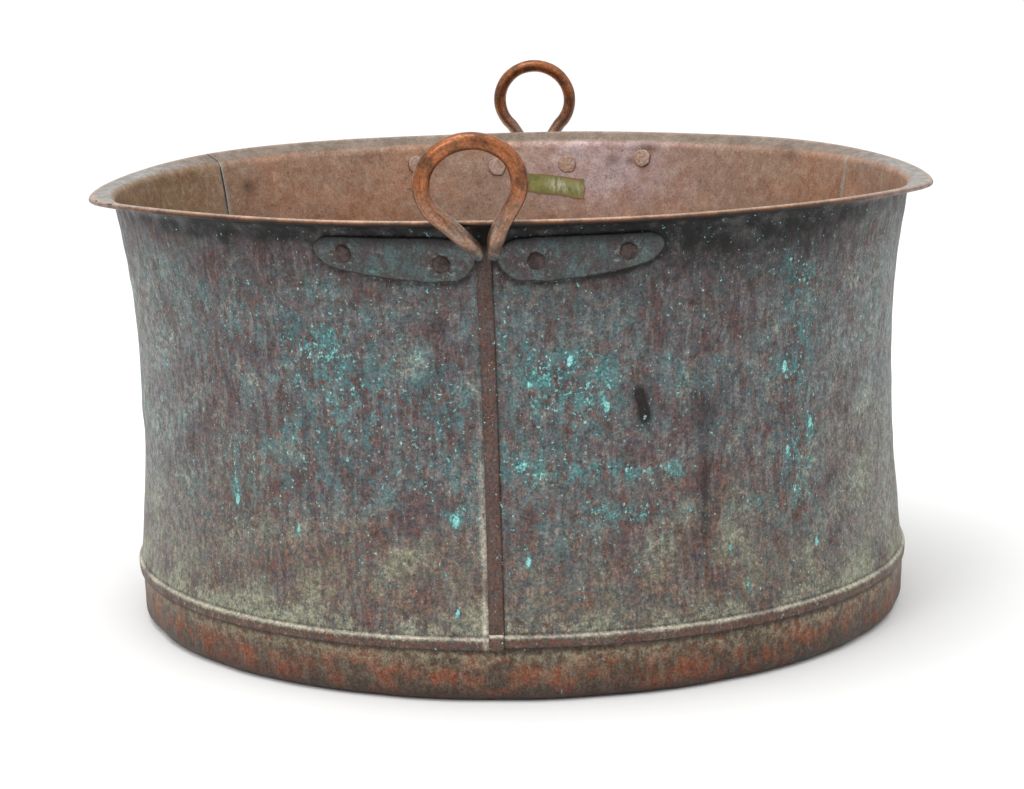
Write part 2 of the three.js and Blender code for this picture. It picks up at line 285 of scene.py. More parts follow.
class Paint:
    """A material being made, with short calls for the few kinds of node used here."""

    def __init__(self, name):
        self.material = bpy.data.materials.new(name)
        self.material.use_nodes = True
        self.tree = self.material.node_tree
        self.surface = self.tree.nodes["Principled BSDF"]
        self.place = self.node("ShaderNodeTexCoord", {}).outputs["Object"]

    def node(self, kind, inputs, **settings):
        """A new node, with values or other nodes' outputs in the inputs named or numbered."""
        made = self.tree.nodes.new(kind)
        for key, value in settings.items():
            setattr(made, key, value)
        for key, value in inputs.items():
            self.plug(made.inputs[key], value)
        return made

    def plug(self, socket, value):
        if isinstance(value, bpy.types.NodeSocket):
            self.tree.links.new(value, socket)
        else:
            socket.default_value = value

    def mask(self, name):
        """A number that paint() stored for each vertex."""
        return self.node("ShaderNodeAttribute", {}, attribute_name=name).outputs["Fac"]

    def stretched(self, x, y, z, vector=None):
        inputs = {"Vector": vector or self.place, "Scale": (x, y, z)}
        return self.node("ShaderNodeMapping", inputs).outputs["Vector"]

    def noise(self, scale, detail, roughness, vector=None):
        inputs = {"Vector": vector or self.place, "Scale": scale}
        inputs.update({"Detail": detail, "Roughness": roughness})
        return self.node("ShaderNodeTexNoise", inputs).outputs["Fac"]

    def cells(self, scale, smooth):
        """Rounded cells, for the dents of the hammer."""
        inputs = {"Vector": self.place, "Scale": scale, "Smoothness": smooth}
        return self.node("ShaderNodeTexVoronoi", inputs, feature="SMOOTH_F1").outputs["Distance"]

    def calc(self, operation, first, second, third=0.0):
        inputs = {0: first, 1: second, 2: third}
        return self.node("ShaderNodeMath", inputs, operation=operation).outputs[0]

    def times(self, first, second):
        return self.calc("MULTIPLY", first, second)

    def step(self, value, low, high, start=0.0, end=1.0):
        """A smooth change from start to end as the value goes from low to high."""
        inputs = dict(enumerate((value, low, high, start, end)))
        return self.node("ShaderNodeMapRange", inputs, interpolation_type="SMOOTHSTEP").outputs[0]

    def mix(self, share, first, second, blend="MIX"):
        """The first colour, covered by the second as far as the share says."""
        first, second = (colour(c) if isinstance(c, str) else c for c in (first, second))
        inputs = {0: share, 6: first, 7: second}
        return self.node("ShaderNodeMix", inputs, data_type="RGBA", blend_type=blend).outputs[2]

    def over_edge(self, noise, mask, pull, edge, width):
        """Where a noise rises over an edge, which the mask pulls down."""
        edge = self.calc("MULTIPLY_ADD", mask, -pull, edge)
        return self.step(noise, edge, self.calc("ADD", edge, width))

    def shade(self, base, noise, low, high, spread):
        """The colour, darker where the noise is low and lighter where it is high."""
        return self.mix(1.0, base, self.step(noise, low, high, 1 - spread, 1 + spread), "MULTIPLY")

    def finish(self, base, roughness, metallic, heights, specular=0.5):
        """Joins everything to the surface. Heights are (value, millimetres) pairs."""
        total = 0.0
        for value, millimetres in heights:
            total = self.calc("MULTIPLY_ADD", value, millimetres * 0.001, total)
        bumps = self.node("ShaderNodeBump", {"Strength": 1.0, "Distance": 1.0, "Height": total})
        inputs = {"Base Color": base, "Roughness": roughness, "Metallic": metallic}
        inputs.update({"Specular IOR Level": specular, "Normal": bumps.outputs["Normal"]})
        for name, value in inputs.items():
            self.plug(self.surface.inputs[name], value)
        return self.material


# -------------------- materials


def outside_patina():
    """Dark, dusty patina with vertical streaks, lime deposits and crusts of verdigris."""
    p = Paint("outside_patina")
    clouds = p.noise(10, 5, 0.62)
    mottle = p.noise(58, 6, 0.68)
    patches = p.noise(150, 5, 0.7)
    grain = p.noise(440, 5, 0.8)
    streaks = p.noise(210, 4, 0.65, p.stretched(1, 1, 0.16))
    hairs = p.noise(700, 3, 0.65, p.stretched(1, 1, 0.25))
    verdigris = p.mask("verdigris")

    # Dark metal, browner where it is bare, with grey streaks, green haze and dust.
    base = p.mix(p.step(clouds, 0.38, 0.62), "4b4147", "4d5356")
    base = p.mix(p.step(mottle, 0.46, 0.60, 0.0, 0.8), base, "4e3835")
    base = p.mix(p.times(p.mask("bare"), p.step(patches, 0.42, 0.60)), base, "6e4334")
    base = p.mix(p.step(streaks, 0.46, 0.66, 0.0, 0.4), base, "7d8180")
    haze = p.noise(95, 6, 0.75, p.stretched(1, 1, 0.6))
    green = p.times(verdigris, p.step(haze, 0.46, 0.62, 0.0, 0.9))
    base = p.mix(green, base, "4b7476")
    dust = p.times(p.mask("dust"), p.step(patches, 0.36, 0.60, 0.35, 1.0))
    base = p.mix(dust, base, "9aa19c")
    film = p.times(p.mask("film"), p.step(haze, 0.36, 0.62, 0.2, 1.0))
    base = p.mix(film, base, "7a7864")
    base = p.mix(p.times(p.mask("strip"), p.step(patches, 0.3, 0.6, 0.4, 0.85)), base, "553a31")

    # Lime, and the pale ledge: pale deposit with a painted highlight on the ledge's upturned top, and
    # pale deposit along each seam's cut edge.
    lime_noise = p.times(hairs, 0.35)
    lime_noise = p.calc("MULTIPLY_ADD", patches, 0.55, lime_noise)
    lime_noise = p.calc("MULTIPLY_ADD", streaks, 0.10, lime_noise)
    lime = p.over_edge(lime_noise, p.mask("deposit"), 0.17, 0.61, 0.15)
    base = p.mix(p.times(lime, 0.7), base, "8f917d")
    # Pale deposit with a painted highlight along the ledge.
    base = p.mix(p.mask("ledge"), base, "bdb3a3")

    # Painted shade under the rim and painted shadow lines along the crevices, then pits and drips.
    dark_soot_and_shade = p.times(p.mask("soot"), p.step(mottle, 0.30, 0.56, 0.6, 1.0))
    base = p.mix(dark_soot_and_shade, base, "100f0e")
    pits = p.step(p.noise(230, 5, 0.7), 0.60, 0.68, 0.0, 0.75)
    base = p.mix(pits, base, "2c2425")
    base = p.mix(p.mask("stain"), base, "1d1816")

    # Crusts of verdigris, bright at heart, and loose flecks and specks.
    crust_noise = p.noise(150, 6, 0.78, p.stretched(1, 1, 0.75))
    crust = p.over_edge(crust_noise, verdigris, 0.105, 0.68, 0.05)
    base = p.mix(p.times(crust, 0.8), base, "438280")
    bright = p.over_edge(crust_noise, verdigris, 0.105, 0.74, 0.04)
    base = p.mix(p.times(bright, 0.85), base, "8cc6c1")
    flecks = p.over_edge(p.noise(310, 3, 0.6), verdigris, 0.05, 0.68, 0.03)
    base = p.mix(p.times(flecks, 0.85), base, "7cc0bb")
    specks = p.step(p.noise(300, 6, 0.8), 0.645, 0.685, 0.0, 0.85)
    base = p.mix(p.times(specks, p.mask("clear")), base, "a8a99d")
    base = p.shade(base, grain, 0.36, 0.64, 0.42)
    base = p.shade(base, patches, 0.32, 0.68, 0.20)

    rough = p.step(mottle, 0.3, 0.7, 0.48, 0.68)
    heights = [(p.cells(62, smooth=1.0), 0.5), (mottle, 0.3), (grain, 0.12), (crust, 0.2), (lime, 0.1)]
    return p.finish(base, rough, 0.2, heights, specular=0.35)


def inside_copper():
    """Brown copper, tinned long ago and marked by wear, with a dusty grey flange and a rim polished by
    hands, painted shadow under its roll and a painted highlight along its crest.
    """
    p = Paint("inside_copper")
    clouds = p.noise(9, 4, 0.6)
    mottle = p.noise(48, 6, 0.65)
    patches = p.noise(130, 5, 0.7)
    grain = p.noise(480, 3, 0.7)
    streaks = p.noise(150, 4, 0.65, p.stretched(1, 1, 0.15))
    base = p.mix(p.step(clouds, 0.38, 0.62), "ae846a", "a08370")
    base = p.mix(p.mask("olive"), base, "8a7355")
    base = p.mix(p.mask("pink"), base, "b29c9c")
    base = p.mix(p.step(mottle, 0.44, 0.66, 0.0, 0.55), base, "8e6249")
    base = p.mix(p.step(patches, 0.48, 0.66, 0.0, 0.45), base, "a59384")
    brown = p.times(p.mask("stain"), p.step(patches, 0.3, 0.6, 0.5, 1.0))
    base = p.mix(brown, base, "4f3524")
    dots = p.step(p.noise(190, 4, 0.65), 0.61, 0.69, 0.0, 0.6)
    base = p.mix(dots, base, "5d4c42")
    crust_noise = p.noise(170, 4, 0.7, p.stretched(1, 1, 0.5))
    crust = p.over_edge(crust_noise, p.mask("verdigris"), 0.13, 0.74, 0.06)
    base = p.mix(p.times(crust, 0.75), base, "78a09a")
    base = p.mix(p.mask("seam"), base, "a3a69c")

    # The dusty flange, and then the roll, polished by hands, with painted shadow on its underside and a
    # painted highlight along its crest.
    dust = p.mix(p.step(streaks, 0.40, 0.65), "85817d", "a39f9b")
    dust = p.mix(p.step(mottle, 0.50, 0.70, 0.0, 0.6), dust, "7c6f66")
    far_flange = p.mix(p.step(mottle, 0.4, 0.62), "7d6a58", "6a5847")
    dust = p.mix(p.times(p.mask("back"), 0.8), dust, far_flange)
    base = p.mix(p.mask("flange"), base, dust)
    roll_wear_and_painted_light = p.mix(p.step(mottle, 0.40, 0.62), "8c5733", "60402c")
    sides = p.mix(p.step(mottle, 0.40, 0.62), "8c7268", "76645c")
    roll_wear_and_painted_light = p.mix(p.mask("sides"), roll_wear_and_painted_light, sides)
    # Painted shadow on the roll's underside, less at the sides.
    roll_wear_and_painted_light = p.mix(p.mask("under"), roll_wear_and_painted_light, "140c07")
    # Painted highlight along the roll's crest.
    crest_highlight = p.times(p.mask("crest"), p.step(mottle, 0.34, 0.56, 0.9, 0.6))
    roll_wear_and_painted_light = p.mix(crest_highlight, roll_wear_and_painted_light, "b8a798")
    base = p.mix(p.mask("roll"), base, roll_wear_and_painted_light)
    base = p.shade(base, grain, 0.30, 0.70, 0.22)
    base = p.shade(base, patches, 0.30, 0.70, 0.12)

    rough = p.step(mottle, 0.3, 0.7, 0.40, 0.58)
    heights = [(p.cells(58, smooth=1.0), 0.7), (mottle, 0.2), (grain, 0.08), (crust, 0.1)]
    return p.finish(base, rough, 0.35, heights, specular=0.4)


def pan_copper():
    """The base pan: dusty at its top edge, with painted shadow just under the wall's cut edge, red-brown
    below and darker towards the bottom.
    """
    p = Paint("pan_copper")
    mottle = p.noise(52, 6, 0.65)
    grain = p.noise(520, 3, 0.7)
    streaks = p.noise(150, 4, 0.6, p.stretched(1, 1, 0.2))
    z = p.node("ShaderNodeSeparateXYZ", {0: p.place}).outputs["Z"]
    patches = p.noise(150, 5, 0.7)
    base = p.mix(p.step(mottle, 0.44, 0.60), "4f3f33", "7d4630")
    base = p.mix(p.step(streaks, 0.46, 0.70, 0.0, 0.5), base, "7b7162")
    base = p.mix(p.step(patches, 0.50, 0.62, 0.0, 0.7), base, "5f5546")
    top = p.step(p.calc("MULTIPLY_ADD", mottle, 0.03, z), 0.038, 0.058)
    base = p.mix(p.times(top, p.step(patches, 0.38, 0.60, 0.1, 0.8)), base, "857d68")
    # Painted shadow just under the wall's cut edge.
    base = p.mix(p.step(z, 0.0385, 0.0445, 0.0, 0.75), base, "2b231d")
    low = p.step(p.calc("MULTIPLY_ADD", mottle, 0.02, z), 0.034, 0.012)
    base = p.mix(p.times(low, 0.75), base, "3a302b")
    inside = p.mask("inside")
    base = p.mix(inside, base, p.mix(p.step(p.noise(14, 6, 0.6), 0.4, 0.6), "8d6f5b", "76614f"))
    spots = p.step(p.noise(170, 5, 0.75), 0.66, 0.71)
    base = p.mix(p.times(spots, 0.75), base, "7fa19b")
    pits = p.step(p.noise(240, 3, 0.6), 0.63, 0.72)
    base = p.mix(p.times(pits, 0.6), base, "3b2f2b")
    base = p.shade(base, grain, 0.32, 0.68, 0.38)
    base = p.shade(base, patches, 0.32, 0.68, 0.22)
    rough = p.step(mottle, 0.3, 0.7, 0.48, 0.68)
    heights = [(p.cells(48, smooth=1.0), 0.7), (mottle, 0.4), (grain, 0.12)]
    return p.finish(base, rough, 0.2, heights, specular=0.35)


def handle_copper():
    """Rod polished to a warm shine by hands, and palms with the same dark patina as the wall, painted
    shade at their tops under the rim and a painted shadow line along their lower edges.
    """
    p = Paint("handle_copper")
    along = p.node("ShaderNodeAttribute", {}, attribute_name="along").outputs["Vector"]
    scratches = p.noise(1.0, 5, 0.7, p.stretched(30, 420, 420, along))
    mottle = p.noise(60, 5, 0.65)
    patches = p.noise(160, 5, 0.7)
    grain = p.noise(520, 3, 0.7)
    rod = p.mix(p.step(mottle, 0.42, 0.58), "94542a", "623718")
    rod = p.mix(p.step(scratches, 0.56, 0.70, 0.0, 0.8), rod, "4a2c1d")
    rod = p.mix(p.step(scratches, 0.42, 0.34, 0.0, 0.5), rod, "b27a56")
    film = p.times(p.mask("film"), p.step(scratches, 0.64, 0.40, 0.3, 0.9))
    rod = p.mix(film, rod, "928477")

    palm = p.mix(p.step(mottle, 0.40, 0.60), "3d3e3d", "463839")
    haze = p.step(p.noise(95, 6, 0.75, p.stretched(1, 1, 0.6)), 0.44, 0.62, 0.0, 0.6)
    palm = p.mix(haze, palm, "4c6465")
    palm = p.mix(p.step(patches, 0.54, 0.66, 0.0, 0.6), palm, "5d6b69")
    halo = p.times(p.mask("halo"), p.step(p.noise(240, 5, 0.78), 0.54, 0.62, 0.0, 0.7))
    palm = p.mix(halo, palm, "93958a")
    flecks = p.step(p.noise(300, 6, 0.8), 0.64, 0.70, 0.0, 0.8)
    palm = p.mix(flecks, palm, "8d9a94")
    crust_noise = p.noise(150, 5, 0.75, p.stretched(1, 1, 1.4))
    crust = p.over_edge(crust_noise, p.mask("verdigris"), 0.13, 0.70, 0.07)
    palm = p.mix(p.times(crust, 0.7), palm, "568a83")
    # Painted shade at the palms' tops, under the rim.
    palm = p.mix(p.times(p.mask("soot"), p.step(mottle, 0.3, 0.6, 0.7, 1.0)), palm, "1b1919")
    # Painted shadow line along the palms' lower edges.
    palm = p.mix(p.mask("edge"), palm, "14110f")
    base = p.mix(p.mask("palm"), rod, palm)
    base = p.shade(base, grain, 0.32, 0.68, 0.30)
    rough = p.step(p.mask("palm"), 0.0, 1.0, 0.30, 0.62)
    metallic = p.step(p.mask("palm"), 0.0, 1.0, 0.65, 0.2)
    heights = [(scratches, 0.18), (mottle, 0.5), (grain, 0.06), (crust, 0.1)]
    return p.finish(base, rough, metallic, heights, specular=0.4)


def rivet_copper():
    """Hammered rivet heads: dark brown outside and pinkish copper, bared by wear, inside."""
    p = Paint("rivet_copper")
    mottle = p.noise(140, 5, 0.65)
    grain = p.noise(480, 3, 0.7)
    outer = p.mix(p.step(mottle, 0.40, 0.60), "2b2120", "4a3b37")
    inner = p.mix(p.step(mottle, 0.40, 0.60), "a68470", "b0978a")
    base = p.mix(p.mask("inner"), outer, inner)
    base = p.mix(p.times(p.mask("rim"), p.step(grain, 0.3, 0.6, 0.4, 0.9)), base, "4a3b33")
    base = p.shade(base, grain, 0.30, 0.70, 0.25)
    rough = p.step(mottle, 0.3, 0.7, 0.42, 0.62)
    return p.finish(base, rough, 0.35, [(p.cells(330, smooth=0.7), 0.4), (grain, 0.08)], specular=0.4)


def old_tape():
    """Yellowed adhesive tape, scuffed through in places, with nothing written on it."""
    p = Paint("old_tape")
    blots = p.noise(90, 5, 0.7)
    fibres = p.noise(260, 4, 0.7, p.stretched(1, 1, 0.25))
    base = p.mix(p.step(blots, 0.40, 0.60), "6f6d33", "8b894f")
    scuff = p.times(p.mask("scuff"), p.step(fibres, 0.44, 0.56))
    base = p.mix(scuff, base, "c4c2ab")
    edge = p.times(p.mask("edge"), p.step(blots, 0.35, 0.6))
    base = p.mix(edge, base, "85593a")
    rough = p.step(blots, 0.3, 0.7, 0.5, 0.8)
    return p.finish(base, rough, 0.0, [(fibres, 0.1), (blots, 0.1)])


def dark_wire():
    """Dark iron wire with a little rust, nearly all of it hidden in the roll."""
    p = Paint("dark_wire")
    rust = p.noise(300, 5, 0.7)
    base = p.mix(p.step(rust, 0.4, 0.6), "4a4744", "5f4636")
    return p.finish(base, p.step(rust, 0.3, 0.7, 0.55, 0.8), 0.7, [(rust, 0.1)])


def floor_paint():
    """The plain white floor of a photo studio."""
    p = Paint("floor_paint")
    base = p.mix(p.step(p.noise(3, 3, 0.5), 0.3, 0.7), "f4f4f3", "f6f6f6")
    return p.finish(base, 0.9, 0.0, [(p.noise(40, 2, 0.5), 0.02)])


OUTSIDE, INSIDE, PAN = outside_patina(), inside_copper(), pan_copper()
HANDLE, RIVET, TAPE, WIRE = handle_copper(), rivet_copper(), old_tape(), dark_wire()

# -------------------- stains

# Each stain: degrees round the drum, height, half width, half height, strength, sideways run per
# millimetre of height.
VERDIGRIS = [
    (-25, 280, 45, 45, 0.7, 0.1),
    (-31, 205, 50, 50, 0.6, 0),
    (-39, 180, 14, 45, 0.55, 0),
    (-14, 240, 60, 55, 0.55, 0),
    (-5, 235, 22, 70, 0.6, 0),
    (7, 268, 22, 22, 1.15, 0),
    (13, 262, 34, 32, 0.85, 0),
    (2, 305, 26, 26, 0.6, 0),
    (6, 215, 40, 40, 0.65, 0),
    (3.5, 193, 14, 9, 1.2, 0.2),
    (10, 189, 26, 9, 0.8, 0.4),
    (16.5, 188, 24, 9, 1.1, 0.3),
    (21, 185, 20, 7, 0.9, 0),
    (25.5, 185, 15, 7, 1.2, 0),
    (14.5, 154, 26, 8, 0.8, 0),
    (20, 151, 24, 8, 1.1, 0),
    (28, 149, 16, 6, 0.8, 0),
    (36, 146, 34, 7, 0.8, -0.2),
    (-21.5, 286, 12, 12, 0.6, 0),
    (-5.2, 151, 7, 7, 1.3, 0),
    (-40, 160, 7, 14, 1.0, 0),
    (45.5, 195, 6, 16, 1.2, 0.2),
    (49, 203, 6, 16, 1.0, 0.2),
    (45.5, 154, 12, 10, 0.8, 0),
    (46, 290, 16, 70, 0.9, 0.25),
    (44, 258, 16, 18, 1.1, 0.3),
    (48, 335, 26, 26, 0.8, 0.3),
    (46, 180, 26, 40, 0.6, 0),
    (-60, 250, 60, 90, 0.35, 0),
    (75, 230, 60, 110, 0.4, 0),
    (118, 250, 40, 120, 0.5, 0),
    (165, 220, 90, 80, 0.6, 0),
    (205, 290, 70, 50, 0.6, 0),
    (250, 200, 60, 90, 0.5, 0),
    (280, 260, 70, 70, 0.45, 0),
]
# Small splashes of pale verdigris that ran a little: degrees round the drum and height.
SPLASHES = [
    (44, 185),
    (43.5, 255),
    (48.8, 205),
    (35.8, 78),
    (33, 115),
    (49.3, 102),
    (10.7, 281),
    (15.5, 242),
    (-39.5, 152),
    (-28, 133),
    (-5.1, 149),
    (4.5, 115),
    (-5.1, 75),
    (130, 210),
    (152, 260),
    (205, 170),
    (248, 230),
]
# Dark drips, as the stains above.
DRIPS = [
    (20.1, 249, 5.5, 7, 1.6, 0),
    (20.8, 233, 6, 11, 1.6, 0),
    (28.6, 240, 11, 22, 0.45, 0),
    (29.6, 170, 6, 75, 0.6, -0.06),
    (-6.6, 311, 8, 7, 0.6, 0),
    (-6.9, 270, 9, 12, 0.5, 0),
    (-28, 300, 12, 16, 0.3, 0),
    (160, 240, 8, 60, 0.6, 0),
    (215, 190, 9, 50, 0.5, 0),
    (265, 240, 7, 60, 0.5, 0),
]
# Verdigris and brown stains on the inside.
INSIDE_GREEN = [
    (116, 362, 12, 40, 0.9, 0.4),
    (112, 378, 10, 14, 0.8, 0),
    (223, 362, 8, 40, 0.6, 0),
    (150, 371, 8, 8, 0.5, 0),
    (232, 358, 9, 9, 0.8, 0),
]
INSIDE_BROWN = [
    (160, 382, 14, 5, 0.9, 0),
    (166, 368, 8, 5, 0.8, 0),
    (163, 368, 5, 4, 0.8, 0),
    (196, 381, 16, 5, 0.7, 0),
    (132, 384, 10, 5, 0.6, 0),
    (232, 360, 7, 7, 0.8, 0),
]


def stained(degrees, z, stains):
    """How strongly a set of stains covers each point of the wall."""
    total = np.zeros(np.broadcast(degrees, z).shape)
    for at, height, half_width, half_height, strength, run in stains:
        across = np.radians(wrapped(degrees - at)) * DRUM_R + run * (z - height)
        total += strength * bump(across, half_width) * bump(z - height, half_height)
    return total


# -------------------- wall sheets


def wall_section():
    """The wall's outside face as (radius, height) points, from the foot's cut edge to the roll's end."""
    foot = curve_through(SKIRT + [(float(wall_radius(z)), z) for z in (FOOT_Z, FOOT_Z + 8)], 3)
    z = np.arange(FOOT_Z + 11, NECK_Z, 3.0)
    drum_part = np.stack([wall_radius(z), z], axis=-1)
    centre = np.array([RIM_R - ROLL_RADIUS, RIM_TOP - ROLL_RADIUS])
    start = math.radians(90 + FLANGE_SLOPE)
    flange_end = centre + ROLL_HOLLOW * np.array([math.cos(start), math.sin(start)])
    flange_start = flange_end - FLANGE_RUN * np.array([1, math.tan(math.radians(FLANGE_SLOPE))])
    neck = np.array([NECK_R, NECK_Z])
    bend = neck + (0.9, 4.6)
    t = np.linspace(0, 1, 8)[:, None]
    turn = (1 - t) ** 2 * neck + 2 * t * (1 - t) * bend + t**2 * flange_start
    flange = flange_start + (flange_end - flange_start) * np.linspace(0, 1, 6)[1:-1, None]
    angles = np.linspace(start, math.radians(ROLL_ENDS_AT), 15)
    roll = centre + ROLL_HOLLOW * np.stack([np.cos(angles), np.sin(angles)], axis=-1)
    return np.vstack([foot, drum_part, turn, flange, roll])


SECTION = wall_section()
along_section = np.gradient(SECTION, axis=0)
along_section /= np.linalg.norm(along_section, axis=1)[:, None]
INTO_COPPER = np.stack([-along_section[:, 1], along_section[:, 0]], axis=-1)


def sheet_columns(seam, next_seam):
    """Angles of a sheet's columns, from its cut edge to its hidden edge."""
    strip = seam + np.array([SEAM_FROM, -0.95, -0.6, 0, 0.5, SEAM_RAISED, 0.85, 0.95, 1.05, SEAM_EASED])
    last = next_seam - 1.5
    middle = np.linspace(seam + 1.5, last, 236)
    tail = last + (next_seam + SEAM_UNDER - last) * np.array([0.4, 0.7, 0.85, 0.94, 1])
    return np.concatenate([strip, middle, tail])[None, :]


def unevenness(degrees, z):
    """How far the beaten sheet is sunk at a place on the wall, in millimetres."""
    sunk = ripples(degrees, z, 95, 0.5, 3) + ripples(degrees, z, 34, 0.12, 5)
    return sunk * ease(46, 70, z) * (1 - ease(NECK_Z - 15, NECK_Z + 6, z))


def wall_sheet(name, ledge_start, ledge_end, seam, next_seam):
    """One wall sheet, its cut edge raised as a strip over the hidden edge of its neighbour."""
    angles = sheet_columns(seam, next_seam)
    radius = SECTION[:, 0][:, None]
    height = SECTION[:, 1][:, None]
    strip = 1 - ease(SEAM_RAISED, SEAM_EASED, angles - seam)
    raised = strip * ((SHEET + GAP) - (SHEET + GAP - 0.5) * ease(STRIP_TOP, NECK_Z + 6, height))
    uneven = unevenness(angles, height)
    share = (angles - seam) / (next_seam - seam)
    ledge = (ledge_start + (ledge_end - ledge_start) * share) * (1 - ease(58, 76, height))
    across = np.clip(np.abs(angles - seam + 0.1) / 0.95, 0, 1)
    strip_end = 3.2 * np.sqrt(1 - across**2) * (1 - ease(44, 50, height))
    wobble = ripples(angles, 0, 260, 0.35, 8) * ease(NECK_Z, RIM_TOP, height)
    loops = []
    for depth in (0, SHEET):
        shift = depth - raised + uneven
        r = radius + INTO_COPPER[:, 0][:, None] * shift
        z = height + INTO_COPPER[:, 1][:, None] * shift + ledge - strip_end + wobble
        loops.append(np.swapaxes(drum(angles, r, z), 0, 1))
    closed = folded(*loops)
    points, quads = loft(leaned(out_of_round(closed)))
    obj = make_object(name + "_hammered", points, quads, [OUTSIDE, INSIDE], "wall_copper", [name])

    rows = len(SECTION)
    position = quads[:, 0] % (2 * rows)
    skin = np.arange(len(quads)) < (closed.shape[0] - 1) * 2 * rows
    is_inside = (skin & (position >= rows)).astype(np.int32)
    obj.data.polygons.foreach_set("material_index", is_inside)

    true_height = np.broadcast_to(np.concatenate([height, height[::-1]])[:, 0], closed.shape[:2])
    turn = np.broadcast_to(angles.T, closed.shape[:2])
    steps = np.broadcast_to(np.arange(2 * rows) - rows, closed.shape[:2])
    paint(obj, **wall_masks(turn, true_height, steps, seam))


def beside_seams(degrees, low_down, mottle):
    """Where lime gathers beside each seam's cut edge, and the pale line right along the edge."""
    lime = np.zeros(degrees.shape)
    pale_line = np.zeros(degrees.shape)
    for seam in SEAMS:
        gap = np.radians(seam + SEAM_FROM - degrees) * DRUM_R
        lime = lime + bump(np.clip(gap, 0, None), 7) * (gap > -0.5)
        close = bump(gap - 1.4 - 1.2 * low_down, 0.8 + 1.2 * low_down) * (gap > 0)
        pale_line = pale_line + close * np.clip(0.22 + 0.38 * low_down + 0.25 * mottle, 0, 1)
    return lime * low_down, pale_line


def soot_mask(degrees, z, seam, mottle, wide, facing, under_flange):
    """Painted shade under the rim, darker still on the right front, and painted shadow lines along the
    ledge, under the cut edge, beside the seam strip and under the palms.
    """
    aside = wrapped(degrees)
    from_seam = wrapped(degrees - seam)
    right_front = ease(-5, 20, aside) * (1 - ease(45, 65, aside))
    # Painted shade under the rim, strongest where the wall faces the front, darker still on the right
    # front.
    soot = 0.4 * ease(300, 384, z + 8 * mottle) * (0.5 + 0.5 * facing)
    soot = soot + 0.9 * ease(366, 379, z + 3 * mottle) * facing
    soot = soot + 0.35 * ease(335, 370, z) * right_front
    soot = soot + 0.22 * ease(270, 345, z + 12 * wide) * right_front
    soot = soot * (1 - under_flange * (1 - facing))
    # Painted shadow under the cut edge, and a painted shadow line in the crease above the ledge.
    cut_edge_shadow = 1 - ease(44.8, 46.2, z)
    soot = soot + 0.6 * bump(z - LEDGE_Z - 2.2, 0.7) + 0.8 * cut_edge_shadow
    # Painted shadow lines along both edges of the seam strip.
    soot = soot + 0.75 * bump(from_seam - 1.02, 0.12) + 0.6 * bump(from_seam + 1, 0.05)
    # A painted shadow line on the wall under the front palms' lower edges.
    palm_share = (np.abs(aside - FRONT_TURN) - PALM_FROM) / (PALM_TO - PALM_FROM)
    low_edge, _ = palm_edges(np.clip(palm_share, 0, 1))
    beside_palm = (palm_share > -0.04) & (palm_share < 1.01)
    soot = soot + 0.7 * beside_palm * bump(z - low_edge + 1.5, 2.5)
    return np.clip(soot, 0, 1)


def outside_masks(degrees, z, seam):
    """Where each kind of weathering, painted shade and painted highlight lies on the outside of a wall
    sheet.
    """
    aside = wrapped(degrees)
    mottle = ripples(degrees, z, 60, 1, 21)
    wide = ripples(degrees, z, 150, 1, 22)
    low = 1 - ease(60, 215, z + 18 * wide)
    near_foot = 1 - ease(56, 84, z)
    low_down = 1 - ease(110, 300, z + 20 * mottle)
    skirt = 1 - ease(51, 53, z)
    on_strip = (np.abs(wrapped(degrees - seam)) < 1.06).astype(float)
    side = ease(25, 75, np.abs(aside))
    left_front = ease(-8, -28, aside) * (1 - ease(-50, -70, aside))
    facing = np.where(np.abs(aside) > 90, 0.6, 1 - 0.75 * ease(30, 75, np.abs(aside)))
    under_flange = ease(NECK_Z + 2, NECK_Z + 7, z)

    green = 0.30 + 0.12 * mottle + 0.1 * wide + stained(degrees, z, VERDIGRIS)
    green *= 1 - 0.6 * ease(330, 372, z) - 0.5 * (1 - ease(95, 150, z))
    green = green * (1 - 0.5 * on_strip)
    green = green + stained(degrees, z, [(at, height, 1.3, 5.5, 5.0, 0.25) for at, height in SPLASHES])

    beside, pale_line = beside_seams(degrees, low_down, mottle)
    deposit = 0.18 + 0.22 * low + (0.5 + 0.3 * left_front) * near_foot + 0.2 * mottle + 0.2 * side
    deposit = (deposit + 0.75 * beside) * (1 - 0.6 * skirt) * (1 - 0.75 * on_strip)
    deposit = deposit + 0.9 * under_flange * (1 - 0.8 * facing)

    dust = 0.05 + 0.34 * ease(40, 68, -aside) + 0.3 * ease(42, 68, aside)
    dust = dust * (1 - 0.5 * near_foot) * (1 - 0.6 * ease(300, 370, z)) + 0.05 * mottle
    # Pale deposit with a painted highlight on the ledge's upturned top.
    ledge = bump(z - LEDGE_Z, 0.9) * (0.75 + 0.2 * mottle)
    return {
        "verdigris": green,
        "deposit": deposit,
        "soot": soot_mask(degrees, z, seam, mottle, wide, facing, under_flange),
        "bare": 0.3 + 0.4 * (1 - ease(90, 250, z + 20 * wide)) + 0.7 * skirt,
        "stain": stained(degrees, z, DRIPS),
        "ledge": np.maximum(ledge, pale_line),
        "dust": dust,
        "film": low * (0.46 + 0.12 * left_front + 0.25 * ease(28, 60, aside) + 0.2 * mottle),
        "strip": np.maximum(on_strip, skirt),
    }


